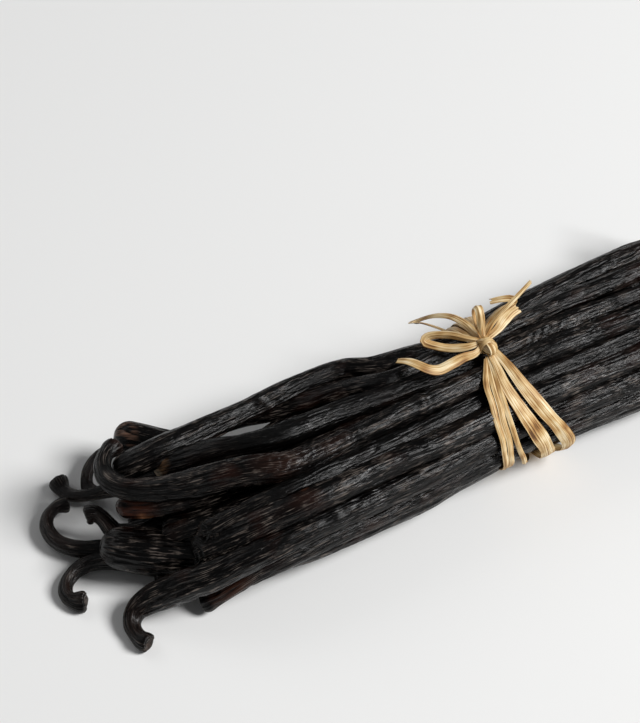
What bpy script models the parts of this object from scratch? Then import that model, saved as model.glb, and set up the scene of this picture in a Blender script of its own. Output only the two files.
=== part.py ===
"""A bundle of cured vanilla pods tied with raffia, lying on a flat surface.

The pods are laid out round an elliptical bundle whose tie is at x = 0: +X runs towards the far,
untied-looking ends, +Y to the back and +Z up. Lengths are in millimetres until the meshes are
written, and the whole bundle is then moved so that its box is centred on the origin and stands
on z = 0. The pods are joined into one solid, and the raffia is made of separate solids.
"""

import math
from dataclasses import dataclass

import bmesh
import bpy
from mathutils import Matrix, Vector

MM = 0.001

# The bundle: the ring that the centres of the outer pods follow, seen along X.
CENTRE_Y = 0.0
CENTRE_Z = 15.3
RING_Y = 17.3
RING_Z = 12.0
INNER_RING = 0.56  # the second ring, as a share of the outer one
TIE_SQUEEZE = 0.06
TIE_REACH = 12.0
SPREAD = 0.07  # how much the ring opens towards the right
SPREAD_FROM = 8.0
SPREAD_LENGTH = 35.0
LOW_Z = 12.9  # the lower half of the ring is deeper, so that the lowest pods settle on the surface
LIFT = 2.95  # how far the tie lifts the lowest pods, which leaves room for the raffia under them
LIFT_REACH = 17.0
LANE_X = (-58.0, 0.0, 55.0)  # where a pod's angle round the ring is stated
LANE_STATIONS = (-58.0, -40.0, -25.0, -12.0, 0.0, 12.0, 25.0, 40.0, 55.0)

# A pod.
POD_WIDTH = 7.3
FLATNESS = 0.73  # thickness over width
STALK_FLARE = 1.22
FLARE_LENGTH = 2.6
POD_SIDES = 8
POLYGON_GROWTH = 1.04  # so that an eight-sided tube holds as much as a round one

# The core, which fills the space between the pods.
CORE_SHARE = 0.90
CORE_FROM = -70.0
CORE_TO = 56.0

# Raffia.
RAFFIA_THICKNESS = 0.7
RAFFIA_CLEARANCE = 1.15
STRAND_LAYER = 0.13  # each strand lies this much higher than the one before
KNOT_CENTRE = (-1.3, 1.3, 32.1)
KNOT_SIZE = (4.4, 6.8, 4.2)

SLIVER = 0.004  # the shortest edge that is left after a join

POD_COLOUR = (0.012, 0.008, 0.007, 1.0)
RAFFIA_COLOUR = (0.60, 0.36, 0.13, 1.0)


@dataclass
class Pod:
    """One pod, from its free end on the left to its other end.

    free: hand-set points of the free end, from the tip inwards, before it joins its lane.
    lanes: the angle round the ring, in degrees, at LANE_X.
    stalk: length over which a stalk end thickens to a pod; 0 is a blunt blossom end.
    curl: (turn in degrees, radius, tilt in degrees) of a stalk at the other end, or None.
    """

    name: str
    free: tuple
    lanes: tuple
    end_x: float
    stalk: float = 0.0
    stalk_width: float = 3.3
    curl: tuple = None
    ring: float = 1.0
    depth: float = 0.0
    width: float = POD_WIDTH


PODS = (
    Pod("back_top", ((-92, 22.3, 17.6), (-88, 21.2, 19.2), (-82, 20.4, 20.4), (-72, 20.4, 20.6),
                     (-56, 20.8, 20.2), (-40, 20.4, 20.2), (-26, 19.0, 21.0), (-15, 16.0, 21.8),
                     (-7, 13.2, 22.1)), (None, 38, 33), 66, curl=(120, 6.5, 35)),
    Pod("under_back_top", ((-95.0, 28.6, 2.6), (-95.2, 32.0, 3.2), (-93.4, 35.0, 4.6), (-90.2, 36.6, 5.8),
                           (-86.4, 36.8, 6.4), (-80, 33.6, 7.6), (-70, 27.6, 10.4), (-58, 25.0, 13.6),
                           (-47, 21.4, 16.4), (-40, 17.2, 20.2), (-33, 13.4, 23.2)),
        (None, 62, 68), 60, stalk=55, stalk_width=2.6),
    Pod("top", ((-81, 17.9, 17.0), (-77.3, 16.1, 18.8), (-73, 13.7, 21.2), (-69, 11.4, 23.2)),
        (62, 80, 90), 68, curl=(95, 6.0, 10), depth=1.5),
    Pod("front_top", ((-88.3, 28.6, 18.8), (-92.2, 26.2, 19.8), (-94.6, 22.6, 20.3), (-95.1, 18.4, 20.8),
                      (-93.3, 14.4, 21.3), (-88.2, 10.0, 22.4), (-83, 6.6, 23.8), (-77, 3.8, 25.4),
                      (-68, 0.4, 27.0)), (101, 101, 112), 62, stalk=42, stalk_width=3.8, width=7.6),
    Pod("front_deep", ((-82.6, -3.8, 17.4), (-79.6, -5.4, 19.0), (-74.3, -6.4, 21.4)),
        (121, 121, 127), 67, curl=(140, 5.5, -20), depth=1.8, width=7.0),
    Pod("front_blunt", ((-85.2, -5.2, 13.0), (-82.0, -6.6, 14.8), (-77.8, -8.4, 17.4), (-72.3, -10.0, 19.8)),
        (137, 138, 142), 70, curl=(110, 6.5, 20), width=8.2),
    Pod("front_hook", ((-102.8, -15.6, 2.1), (-104.0, -12.8, 1.9), (-103.9, -9.0, 2.1), (-101.9, -6.6, 3.0),
                       (-98.4, -6.6, 5.0), (-94.2, -8.2, 7.6), (-89.6, -10.4, 10.4), (-84.2, -13.0, 13.4),
                       (-77.0, -14.8, 16.4)), (162, 162, 163), 61, stalk=21, width=7.4),
    Pod("front_low", ((-86.3, -11.9, 2.3), (-83.4, -13.6, 4.6), (-79.4, -14.8, 7.6), (-73, -15.6, 10.4)),
        (197, 190, 187), 64, stalk=24),
    Pod("fat_end", ((-101.8, 10.8, 9.4), (-98.6, 8.0, 9.4), (-93.5, 4.0, 9.2), (-86.5, -0.6, 8.8),
                    (-78, -5.6, 8.4)), (214, 216, 212), 72, curl=(130, 6.0, -30), depth=0.6, width=9.6),
    Pod("short_hook", ((-110.4, 2.3, 2.3), (-112.3, 3.7, 2.1), (-113.4, 6.0, 2.0), (-112.4, 8.9, 2.1),
                       (-109.6, 10.9, 2.3), (-105.4, 11.6, 2.6), (-99.6, 9.2, 2.9), (-91, 2.6, 3.0),
                       (-78, -4.6, 3.4)), (240, 242, 240), 58, stalk=44),
    Pod("under_front", ((-93, 0.0, 3.6), (-88, -2.0, 2.9), (-76, -2.2, 2.7)), (264, 268, 268), 66, stalk=26),
    Pod("wide_hook", ((-101.6, 29.4, 3.4), (-104.6, 29.9, 3.4), (-107.6, 28.6, 3.2), (-109.2, 26.2, 2.9),
                      (-109.4, 22.4, 2.9), (-108.0, 18.8, 3.0), (-105.0, 15.6, 3.3), (-99.4, 12.4, 3.4),
                      (-90, 8.0, 3.0), (-76, 5.4, 2.7)), (287, 294, 295), 60, stalk=46),
    Pod("under_back", ((-92, 16.0, 3.4), (-86, 13.6, 3.4), (-74, 11.6, 4.2)), (309, 320, 322), 63, stalk=28),
    Pod("back_low", ((-88, 20.0, 5.6), (-82, 18.6, 6.2), (-72, 16.0, 7.0)), (327, 345, 348), 73,
        curl=(100, 7.0, 10), width=6.8),
    Pod("back_blunt", ((-83, 34.2, 11.8), (-79.4, 31.6, 12.0), (-73.4, 25.4, 12.2), (-66, 19.6, 12.2)),
        (344, 12, 10), 71, curl=(125, 6.0, -15), width=7.6),
    Pod("inner_brown", ((-94.5, 16.0, 13.6), (-91.3, 12.8, 14.8), (-87.7, 9.8, 16.2), (-80, 6.2, 18.4)),
        (80, 76, 76), 67, curl=(90, 6.0, 20), ring=INNER_RING, width=6.6),
    Pod("inner_dark", ((-89.5, 3.0, 11.4), (-85, 1.6, 12.6), (-78, -1.0, 15.4)), (126, 126, 126), 64,
        ring=INNER_RING, width=6.8),
    Pod("inner_front", ((-86, -6.2, 9.6), (-80, -7.4, 11.0)), (177, 177, 177), 59, ring=INNER_RING),
    Pod("inner_low", ((-92, 8.6, 7.4), (-86, 4.0, 8.4)), (229, 229, 229), 68, curl=(80, 6.5, 0), ring=INNER_RING),
    Pod("inner_under", ((-94, 12.6, 6.6), (-87, 8.8, 8.0)), (281, 281, 281), 62, stalk=30, ring=INNER_RING),
    Pod("inner_stub", ((-101.1, 20.2, 9.4), (-98.6, 18.3, 9.6), (-95, 16.0, 9.6), (-89, 13.0, 10.2),
                       (-80, 10.4, 11.2)), (333, 333, 333), 61, stalk=30, ring=INNER_RING),
    Pod("inner_small_hook", ((-100.5, 38.0, 2.3), (-100.6, 34.3, 2.3), (-99.2, 31.0, 3.0), (-96.2, 28.3, 4.6),
                             (-92.0, 25.6, 6.6), (-86, 21.0, 10.2), (-77, 15.4, 14.4)), (24, 24, 24), 58,
        stalk=52, stalk_width=2.9, ring=INNER_RING),
    Pod("heart_front", ((-88, 5.4, 11.6), (-80, 2.0, 13.2)), (180, 180, 180), 65, ring=0.2),
    Pod("heart_back", ((-89, 11.4, 13.0), (-80, 8.4, 14.4)), (0, 0, 0), 69, curl=(60, 7.0, 10), ring=0.2),
)

# The strands that fan out from the knot over the front and meet again at the back:
# ((x, angle round the bundle in degrees), ...) and the width.
STRANDS = (
    (((-2.6, 92), (-6.6, 113), (-8.6, 140), (-8.9, 173), (-7.2, 205), (-5.4, 240), (-4.0, 290), (-3.0, 350),
      (-2.6, 50), (-2.4, 86)), 1.5),
    (((-2.0, 91), (-5.2, 117), (-7.0, 144), (-6.9, 177), (-5.4, 207), (-3.4, 240), (-2.0, 290), (-1.2, 350),
      (-1.6, 50), (-1.8, 87)), 1.6),
    (((-1.6, 92), (-4.3, 123), (-5.2, 148), (-4.5, 173), (-1.6, 203), (2.0, 225), (3.0, 290), (2.2, 350),
      (0.0, 50), (-1.2, 85)), 1.4),
    (((-1.0, 90), (-2.4, 118), (-1.6, 140), (0.2, 160), (3.0, 184), (5.2, 208), (6.2, 240), (5.2, 290),
      (3.8, 350), (0.6, 50), (-0.6, 86)), 3.2),
    (((0.2, 84), (0.8, 105), (1.6, 125), (4.0, 150), (7.6, 172), (11.0, 193), (11.0, 210), (8.6, 236),
      (7.6, 290), (5.6, 350), (1.6, 50), (0.0, 82)), 3.4),
)

# Bow loops and loose tails, as hand-set points, with their width and the way that they face.
RIBBONS = {
    "raffia_loop_left": (((-4.9, 4.6, 33.4), (-8.2, 7.6, 33.6), (-12.6, 10.2, 32.8), (-13.6, 10.0, 32.0),
                          (-11.0, 7.2, 31.4), (-8.4, 5.0, 31.6), (-5.2, 3.0, 32.4)), 1.5, (0.2, -0.5, 1.0)),
    "raffia_loop_back": (((-1.6, 7.2, 31.8), (-1.6, 11.0, 31.0), (-2.6, 15.6, 29.4), (-4.6, 19.4, 27.0),
                          (-6.4, 21.8, 24.6), (-8.0, 22.9, 23.2), (-9.3, 22.0, 24.2), (-8.6, 19.2, 26.8),
                          (-7.0, 15.0, 28.6), (-5.6, 10.6, 30.0), (-4.6, 7.4, 30.9)), 1.4, (0.5, 0.6, 1.0)),
    "raffia_loop_up": (((-0.9, 4.6, 35.0), (-0.8, 5.0, 36.6), (-0.5, 6.0, 38.2), (-0.2, 7.4, 39.1),
                        (-0.1, 8.7, 38.4), (-0.3, 8.6, 36.8), (-0.5, 7.4, 35.3)), 1.6, (0.0, 0.3, 1.0)),
    "raffia_tail_rolled": (((1.4, 4.2, 34.2), (2.9, 4.8, 35.0), (5.0, 5.4, 36.0), (7.6, 6.0, 37.0),
                            (11.2, 7.0, 38.0), (15.6, 8.4, 39.0)), 1.1, (0.0, -0.6, 1.0)),
    "raffia_tail_flared": (((1.6, 3.4, 32.4), (4.0, 4.2, 32.6), (6.4, 5.5, 32.9), (9.0, 6.7, 33.0),
                            (11.4, 7.2, 33.0)), 1.9, (0.0, -0.5, 1.0)),
    "raffia_tail_frayed": (((1.6, 6.4, 31.6), (5.0, 8.8, 31.1), (9.0, 10.4, 30.8), (12.6, 10.9, 30.5),
                            (13.0, 12.2, 30.4), (10.8, 13.6, 30.1), (8.2, 14.6, 29.6)), 1.4, (0.2, 0.5, 1.0)),
    "raffia_tail_twisted": (((-4.4, 0.8, 31.8), (-8.0, 0.8, 32.2), (-11.3, 0.6, 32.2), (-15.1, 0.8, 31.8),
                             (-17.3, 1.6, 32.6), (-18.6, 3.2, 33.0), (-20.2, 6.2, 32.6), (-21.8, 8.6, 31.4)),
                            1.8, (0.0, -0.4, 1.0)),
}


def clear_scene():
    for obj in list(bpy.data.objects):
        bpy.data.objects.remove(obj)


def on_ring(angle, x, ring=1.0, depth=0.0):
    """(y, z) of a place on the ring at x. The tie squeezes the ring and lifts it, and it opens beyond it."""
    opened = min(max((x - SPREAD_FROM) / SPREAD_LENGTH, 0.0), 1.0)
    squeeze = 1.0 - TIE_SQUEEZE * math.exp(-((x / TIE_REACH) ** 2)) + SPREAD * opened
    turn = math.radians(angle)
    half_height = RING_Z * squeeze
    if math.sin(turn) < 0:
        lowest = LOW_Z - LIFT * math.exp(-((x / LIFT_REACH) ** 4))
        half_height += (lowest - half_height) * math.sin(turn) ** 2
    y = CENTRE_Y + (RING_Y * squeeze * ring - depth) * math.cos(turn)
    z = CENTRE_Z + (half_height * ring - depth) * math.sin(turn)
    return y, z


def lane_angle(pod, x):
    """The pod's angle round the ring at x, eased between the angles that it states."""
    left, tie, right = pod.lanes
    if x < LANE_X[1]:
        start, end, share = left, tie, (x - LANE_X[0]) / (LANE_X[1] - LANE_X[0])
    else:
        start, end, share = tie, right, (x - LANE_X[1]) / (LANE_X[2] - LANE_X[1])
    if start is None:
        return end
    start_to_end = (end - start + 180.0) % 360.0 - 180.0
    return start + start_to_end * share * share * (3.0 - 2.0 * share)


def curled_end(start, heading, curl):
    """Points along the arc of a curled stalk that leaves start along heading."""
    turn, radius, tilt = curl
    side = 1.0 if start.y > CENTRE_Y else -1.0
    outward = Vector((0.0, side * math.cos(math.radians(tilt)), -math.sin(math.radians(tilt))))
    steps = 5
    points = []
    for step in range(1, steps + 1):
        angle = math.radians(turn) * step / steps
        points.append(start + heading * radius * math.sin(angle) + outward * radius * (1.0 - math.cos(angle)))
    return points


def pod_points(pod):
    """The points that the pod's centre line passes through, from its free end."""
    points = [Vector(p) for p in pod.free]
    last_free = pod.free[-1][0]
    for x in LANE_STATIONS:
        if x > last_free + 5.0:
            points.append(Vector((x, *on_ring(lane_angle(pod, x), x, pod.ring, pod.depth))))
    heading = Vector((1.0, 0.0, 0.0))
    if pod.curl:
        reach = pod.curl[1] if pod.curl[0] >= 90 else pod.curl[1] * math.sin(math.radians(pod.curl[0]))
        straight = max(pod.end_x - reach - points[-1].x, 2.0)
        points.append(points[-1] + heading * straight)
        points += curled_end(points[-1], heading, pod.curl)
    else:
        points.append(points[-1] + heading * (pod.end_x - points[-1].x))
    return points


def smooth_route(points, spacing=1.0):
    """Points about spacing apart on a centripetal Catmull-Rom curve through the given points."""
    ends = [points[0] * 2 - points[1], *points, points[-1] * 2 - points[-2]]
    route = []
    for a, b, c, d in zip(ends, ends[1:], ends[2:], ends[3:]):
        knots = [0.0]
        for p, q in ((a, b), (b, c), (c, d)):
            knots.append(knots[-1] + max((q - p).length, 1e-6) ** 0.5)
        steps = max(1, round((c - b).length / spacing))
        for step in range(steps):
            t = knots[1] + (knots[2] - knots[1]) * step / steps
            a1 = a.lerp(b, (t - knots[0]) / (knots[1] - knots[0]))
            a2 = b.lerp(c, (t - knots[1]) / (knots[2] - knots[1]))
            a3 = c.lerp(d, (t - knots[2]) / (knots[3] - knots[2]))
            b1 = a1.lerp(a2, (t - knots[0]) / (knots[2] - knots[0]))
            b2 = a2.lerp(a3, (t - knots[1]) / (knots[3] - knots[1]))
            route.append(b1.lerp(b2, (t - knots[1]) / (knots[2] - knots[1])))
    route.append(points[-1].copy())
    return route


def stations(route, sizes, most_turn=20.0, most_length=15.0, most_growth=1.1):
    """Indices of the route's points where a tube needs a ring: closer where it bends or tapers."""
    chosen = [0]
    turned = 0.0
    travelled = 0.0
    for i in range(1, len(route) - 1):
        before = route[i] - route[i - 1]
        after = route[i + 1] - route[i]
        turned += math.degrees(before.angle(after))
        travelled += before.length
        growth = abs(sizes[i][0] - sizes[chosen[-1]][0])
        if turned > most_turn or travelled > most_length or growth > most_growth:
            chosen.append(i)
            turned = 0.0
            travelled = 0.0
    chosen.append(len(route) - 1)
    return chosen


def end_width(distance, stalk, stalk_width, width):
    """Width of a pod at a distance from one of its ends."""
    if stalk:
        share = min(distance / stalk, 1.0)
        flare = 1.0 + (STALK_FLARE - 1.0) * max(0.0, 1.0 - distance / FLARE_LENGTH)
        return (stalk_width + (width - stalk_width) * share * share * (3.0 - 2.0 * share)) * flare
    round_off = 0.5 * width
    share = min((distance + 0.5) / round_off, 1.0)
    return width * math.sqrt(1.0 - (1.0 - share) ** 2)


def bent_rod(name, route, sizes, facing, sides):
    """A closed tube along the route. sizes gives (width, thickness) at each of the route's points.

    The tube starts as an upright prism that is cut into rings, and each ring is then carried to
    its station. Its thickness lies along facing. That is the direction at the middle, which is
    carried along the route both ways so that the tube doesn't twist, or a function of the place.
    """
    chosen = stations(route, sizes)
    bm = bmesh.new()
    bmesh.ops.create_cone(bm, cap_ends=True, segments=sides, radius1=0.5, radius2=0.5, depth=1.0)
    if sides == 4:
        bmesh.ops.rotate(bm, verts=bm.verts, matrix=Matrix.Rotation(math.radians(45.0), 3, "Z"))
        bmesh.ops.scale(bm, verts=bm.verts, vec=(math.sqrt(2.0), math.sqrt(2.0), 1.0))
    upright = [e for e in bm.edges if abs(e.verts[0].co.z - e.verts[1].co.z) > 0.5]
    bmesh.ops.subdivide_edges(bm, edges=upright, cuts=len(chosen) - 2)
    frames = [None] * len(chosen)
    middle = len(chosen) // 2
    for walk in (range(middle, len(chosen)), range(middle, -1, -1)):
        across = facing(route[chosen[middle]]) if callable(facing) else Vector(facing)
        for i in walk:
            index = chosen[i]
            if callable(facing):
                across = facing(route[index])
            along = (route[min(index + 1, len(route) - 1)] - route[max(index - 1, 0)]).normalized()
            across = (across - along * across.dot(along)).normalized()
            width, thickness = sizes[index]
            frames[i] = (route[index], across.cross(along) * width, across * thickness)
    for vert in bm.verts:
        ring = round((vert.co.z + 0.5) * (len(chosen) - 1))
        centre, side, outward = frames[ring]
        vert.co = (centre + side * vert.co.x + outward * vert.co.y) * MM
    mesh = bpy.data.meshes.new(name)
    bm.to_mesh(mesh)
    bm.free()
    obj = bpy.data.objects.new(name, mesh)
    bpy.context.scene.collection.objects.link(obj)
    return obj


def make_pod(pod):
    route = smooth_route(pod_points(pod))
    lengths = [0.0]
    for a, b in zip(route, route[1:]):
        lengths.append(lengths[-1] + (b - a).length)
    total = lengths[-1]
    other_stalk = 30.0 if pod.curl else 0.0
    sizes = []
    for length in lengths:
        width = min(
            end_width(length, pod.stalk, pod.stalk_width, pod.width),
            end_width(total - length, other_stalk, pod.stalk_width, pod.width),
        )
        roundness = 1.0 - (1.0 - FLATNESS) * min(1.0, width / pod.width)
        sizes.append((width * POLYGON_GROWTH, width * roundness * POLYGON_GROWTH))
    return bent_rod("pod_" + pod.name, route, sizes, outward_at(route[len(route) // 2]), POD_SIDES)


def make_core():
    """The elliptical plug that fills the bundle between its ends."""
    steps = 8
    points = [Vector((CORE_FROM + (CORE_TO - CORE_FROM) * i / steps, CENTRE_Y, CENTRE_Z)) for i in range(steps + 1)]
    route = smooth_route(points, 2.0)
    sizes = []
    for point in route:
        squeeze = 1.0 - TIE_SQUEEZE * math.exp(-((point.x / TIE_REACH) ** 2))
        to_end = min(point.x - CORE_FROM, CORE_TO - point.x)
        taper = 0.75 + 0.25 * min(1.0, to_end / 12.0)
        share = 2.0 * CORE_SHARE * squeeze * taper
        sizes.append((RING_Y * share, RING_Z * share))
    return bent_rod("core", route, sizes, (0.0, 0.0, 1.0), 20)


def joined(name, pieces, solver="EXACT"):
    """One closed body: the Boolean union of the pieces, without the voids sealed inside it."""
    base = pieces[0]
    helpers = bpy.data.collections.new(name + "_pieces")
    for piece in pieces[1:]:
        helpers.objects.link(piece)
    union = base.modifiers.new("join", "BOOLEAN")
    union.operation = "UNION"
    union.operand_type = "COLLECTION"
    union.collection = helpers
    union.solver = solver
    bpy.context.view_layer.update()
    graph = bpy.context.evaluated_depsgraph_get()
    mesh = bpy.data.meshes.new_from_object(base.evaluated_get(graph))
    for piece in pieces:
        bpy.data.objects.remove(piece)
    bpy.data.collections.remove(helpers)
    keep_largest_shell(mesh)
    mesh.name = name
    obj = bpy.data.objects.new(name, mesh)
    bpy.context.scene.collection.objects.link(obj)
    return obj


def keep_largest_shell(mesh):
    """Merges the slivers that the join leaves, and deletes the shells inside the outer one."""
    bm = bmesh.new()
    bm.from_mesh(mesh)
    bmesh.ops.triangulate(bm, faces=bm.faces)
    bmesh.ops.remove_doubles(bm, verts=bm.verts, dist=SLIVER * MM)
    bmesh.ops.dissolve_degenerate(bm, edges=bm.edges, dist=SLIVER * MM)
    unseen = set(bm.faces)
    shells = []
    while unseen:
        front = [unseen.pop()]
        shell = set(front)
        while front:
            face = front.pop()
            for edge in face.edges:
                for other in edge.link_faces:
                    if other in unseen:
                        unseen.discard(other)
                        shell.add(other)
                        front.append(other)
        shells.append(shell)
    largest = max(shells, key=len)
    inner = [face for shell in shells if shell is not largest for face in shell]
    bmesh.ops.delete(bm, geom=inner, context="FACES")
    bm.to_mesh(mesh)
    bm.free()


def cut_flat(obj, height=0.0):
    """Cuts away what lies below the given height and closes the cut, so the bundle stands on flats."""
    bm = bmesh.new()
    bm.from_mesh(obj.data)
    geometry = [*bm.verts, *bm.edges, *bm.faces]
    cut = bmesh.ops.bisect_plane(bm, geom=geometry, plane_co=(0, 0, height), plane_no=(0, 0, 1), clear_inner=True)
    edges = [e for e in cut["geom_cut"] if isinstance(e, bmesh.types.BMEdge)]
    bmesh.ops.holes_fill(bm, edges=edges)
    bmesh.ops.triangulate(bm, faces=bm.faces)
    bm.to_mesh(obj.data)
    bm.free()


def outward_at(point):
    """The direction square to the bundle's surface beside a point."""
    return Vector((0.0, (point.y - CENTRE_Y) / RING_Y**2, (point.z - CENTRE_Z) / RING_Z**2)).normalized()


def strand_point(x, angle, layer):
    """A place on the middle of a strand, which lies over the pods with a small gap."""
    off = POD_WIDTH * FLATNESS * POLYGON_GROWTH / 2 + RAFFIA_CLEARANCE + RAFFIA_THICKNESS / 2 + layer
    place = Vector((x, *on_ring(angle, x)))
    return place + outward_at(place) * off


def make_strand(index, places, width):
    """A strip of raffia from under the knot over the front of the bundle, round it and back."""
    layer = STRAND_LAYER * index
    points = []
    for (x0, a0), (x1, a1) in zip(places, places[1:]):
        turn = (a1 - a0) % 360.0
        steps = max(1, round(turn / 18.0))
        for step in range(steps):
            share = step / steps
            points.append(strand_point(x0 + (x1 - x0) * share, a0 + turn * share, layer))
    points.append(strand_point(*places[-1], layer))
    route = smooth_route(points, 1.5)
    sizes = []
    for i in range(len(route)):
        to_knot = min(i, len(route) - 1 - i) * 1.5
        share = min(1.0, 0.45 + to_knot / 22.0)
        sizes.append((width * share, RAFFIA_THICKNESS))
    return bent_rod(f"strand_{index}", route, sizes, outward_at, 4)


def make_knot():
    bm = bmesh.new()
    bmesh.ops.create_icosphere(bm, subdivisions=2, radius=0.5)
    bmesh.ops.scale(bm, verts=bm.verts, vec=Vector(KNOT_SIZE) * MM)
    bmesh.ops.translate(bm, verts=bm.verts, vec=Vector(KNOT_CENTRE) * MM)
    mesh = bpy.data.meshes.new("knot")
    bm.to_mesh(mesh)
    bm.free()
    obj = bpy.data.objects.new("knot", mesh)
    bpy.context.scene.collection.objects.link(obj)
    return obj


def make_ribbon(name, points, width, facing):
    route = smooth_route([Vector(p) for p in points])
    sizes = [(width, RAFFIA_THICKNESS)] * len(route)
    return bent_rod(name, route, sizes, facing, 4)


def material(name, colour, roughness):
    made = bpy.data.materials.new(name)
    made.use_nodes = True
    shader = made.node_tree.nodes["Principled BSDF"]
    shader.inputs["Base Color"].default_value = colour
    shader.inputs["Roughness"].default_value = roughness
    shader.inputs["Metallic"].default_value = 0.0
    return made


def centre_on_origin(objects):
    """Moves the meshes so that the whole box is centred on X and Y and stands on z = 0."""
    corners = [v.co for obj in objects for v in obj.data.vertices]
    low = Vector([min(c[i] for c in corners) for i in range(3)])
    high = Vector([max(c[i] for c in corners) for i in range(3)])
    shift = Vector((-(low.x + high.x) / 2, -(low.y + high.y) / 2, -low.z))
    for obj in objects:
        obj.data.transform(Matrix.Translation(shift))
    print("box", [round(v / MM, 1) for v in high - low], "shift", [round(v / MM, 2) for v in shift])


def main():
    clear_scene()
    bundle = joined("pod_bundle", [make_core(), *[make_pod(pod) for pod in PODS]])
    cut_flat(bundle)
    strands = [make_strand(i, places, width) for i, (places, width) in enumerate(STRANDS)]
    tie = joined("raffia_tie", [make_knot(), *strands])
    ribbons = [make_ribbon(name, *shape) for name, shape in RIBBONS.items()]
    pod_skin = material("cured pod skin", POD_COLOUR, 0.45)
    raffia = material("raffia", RAFFIA_COLOUR, 0.6)
    bundle.data.materials.append(pod_skin)
    for obj in (tie, *ribbons):
        obj.data.materials.append(raffia)
    centre_on_origin([bundle, tie, *ribbons])


main()
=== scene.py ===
# %% [markdown]
# # A bundle of vanilla pods tied with raffia
#
# Cured vanilla pods are long, flat, oily and deeply wrinkled, because a plump green pod lost
# most of its water while its skin kept its size. Here two dozen of them lie side by side in a
# bundle. Some end in a hooked stalk with a torn tip, others in a blunt blossom end. A few
# strips of raffia, a dry palm leaf fibre, are knotted round the middle in a small bow.
#
# Everything stands on the fixed frame, so the first step is to load it and to note its box.

import math
from dataclasses import dataclass

import bmesh
import bpy
import numpy as np
from mathutils import Matrix, Vector


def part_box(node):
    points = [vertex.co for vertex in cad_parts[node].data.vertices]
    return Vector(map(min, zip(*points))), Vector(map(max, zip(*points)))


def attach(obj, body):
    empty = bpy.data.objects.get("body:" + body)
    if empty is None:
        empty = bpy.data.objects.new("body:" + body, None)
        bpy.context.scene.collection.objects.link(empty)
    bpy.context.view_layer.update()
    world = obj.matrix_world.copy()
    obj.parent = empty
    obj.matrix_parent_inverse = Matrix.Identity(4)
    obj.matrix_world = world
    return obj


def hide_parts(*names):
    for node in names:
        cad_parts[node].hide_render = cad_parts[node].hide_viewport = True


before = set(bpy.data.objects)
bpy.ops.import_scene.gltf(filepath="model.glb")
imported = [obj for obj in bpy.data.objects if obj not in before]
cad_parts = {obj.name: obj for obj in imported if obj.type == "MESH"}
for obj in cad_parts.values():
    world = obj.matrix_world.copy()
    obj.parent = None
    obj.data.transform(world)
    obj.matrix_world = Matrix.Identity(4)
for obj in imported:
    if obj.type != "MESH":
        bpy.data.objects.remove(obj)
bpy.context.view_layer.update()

# %% [markdown]
# ## One plan for the whole bundle
#
# All sizes below are millimetres in a plan of the bundle: the tie is at x = 0, +X runs to the
# right end, +Y to the back, and z = 0 is the surface it lies on. The frame's origin is the
# middle of its box instead. One loose tail of the bow has a simple route, so the distance
# between its place in the plan and its place in the frame gives the shift for everything.

# %% Raffia loops and tails, and the shift from the plan to the frame
MM = 0.001
SEED = 7

RIBBONS = {  # route, and the direction that the strip's face looks in
    "raffia_loop_left": (((-4.9, 4.6, 33.4), (-8.2, 7.6, 33.6), (-12.6, 10.2, 32.8), (-13.6, 10.0, 32.0),
        (-11.0, 7.2, 31.4), (-8.4, 5.0, 31.6), (-5.2, 3.0, 32.4)), (0.2, -0.5, 1.0)),
    "raffia_loop_back": (((-1.6, 7.2, 31.8), (-1.6, 11.0, 31.0), (-2.6, 15.6, 29.4), (-4.6, 19.4, 27.0),
        (-6.4, 21.8, 24.6), (-8.0, 22.9, 23.2), (-9.3, 22.0, 24.2), (-8.6, 19.2, 26.8),
        (-7.0, 15.0, 28.6), (-5.6, 10.6, 30.0), (-4.6, 7.4, 30.9)), (0.5, 0.6, 1.0)),
    "raffia_loop_up": (((-0.9, 4.6, 35.0), (-0.8, 5.0, 36.6), (-0.5, 6.0, 38.2), (-0.2, 7.4, 39.1),
        (-0.1, 8.7, 38.4), (-0.3, 8.6, 36.8), (-0.5, 7.4, 35.3)), (0.0, 0.3, 1.0)),
    "raffia_tail_rolled": (((1.4, 4.2, 34.2), (2.9, 4.8, 35.0), (5.0, 5.4, 36.0), (7.6, 6.0, 37.0),
        (11.2, 7.0, 38.0), (15.6, 8.4, 39.0)), (0.0, -0.6, 1.0)),
    "raffia_tail_flared": (((1.6, 3.4, 32.4), (4.0, 4.2, 32.6), (6.4, 5.5, 32.9), (9.0, 6.7, 33.0),
        (11.4, 7.2, 33.0)), (0.0, -0.5, 1.0)),
    "raffia_tail_frayed": (((1.6, 6.4, 31.6), (5.0, 8.8, 31.1), (9.0, 10.4, 30.8), (12.6, 10.9, 30.5),
        (13.0, 12.2, 30.4), (10.8, 13.6, 30.1), (8.2, 14.6, 29.6)), (0.2, 0.5, 1.0)),
    "raffia_tail_twisted": (((-4.4, 0.8, 31.8), (-8.0, 0.8, 32.2), (-11.3, 0.6, 32.2), (-15.1, 0.8, 31.8),
        (-17.3, 1.6, 32.6), (-18.6, 3.2, 33.0), (-20.2, 6.2, 32.6), (-21.8, 8.6, 31.4)),
        (0.0, -0.4, 1.0)),
}


def middle(low, high):
    return (Vector(low) + Vector(high)) / 2


tail = np.array(RIBBONS["raffia_tail_rolled"][0])
SHIFT = middle(*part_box("raffia_tail_rolled")) / MM - middle(tail.min(0), tail.max(0))
SHIFT.z = 0.0
print("shift from plan to frame in mm", [round(v, 2) for v in SHIFT])


def placed(points):
    """Plan millimetres turned into frame metres."""
    return (np.asarray(points) + np.array(SHIFT)) * MM


# %% [markdown]
# ## Camera, floor and light
#
# The bundle is seen from its left front, from well above it. A long lens keeps the pods
# parallel. The floor is a plain pale sheet, big enough to fill the view from any side. Cured
# pods are nearly black, so what shows of them is mostly the light that they reflect: a soft
# panel at the right front draws a bright streak on every wrinkle, and a dim one at the back
# left keeps the far sides readable.

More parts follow.
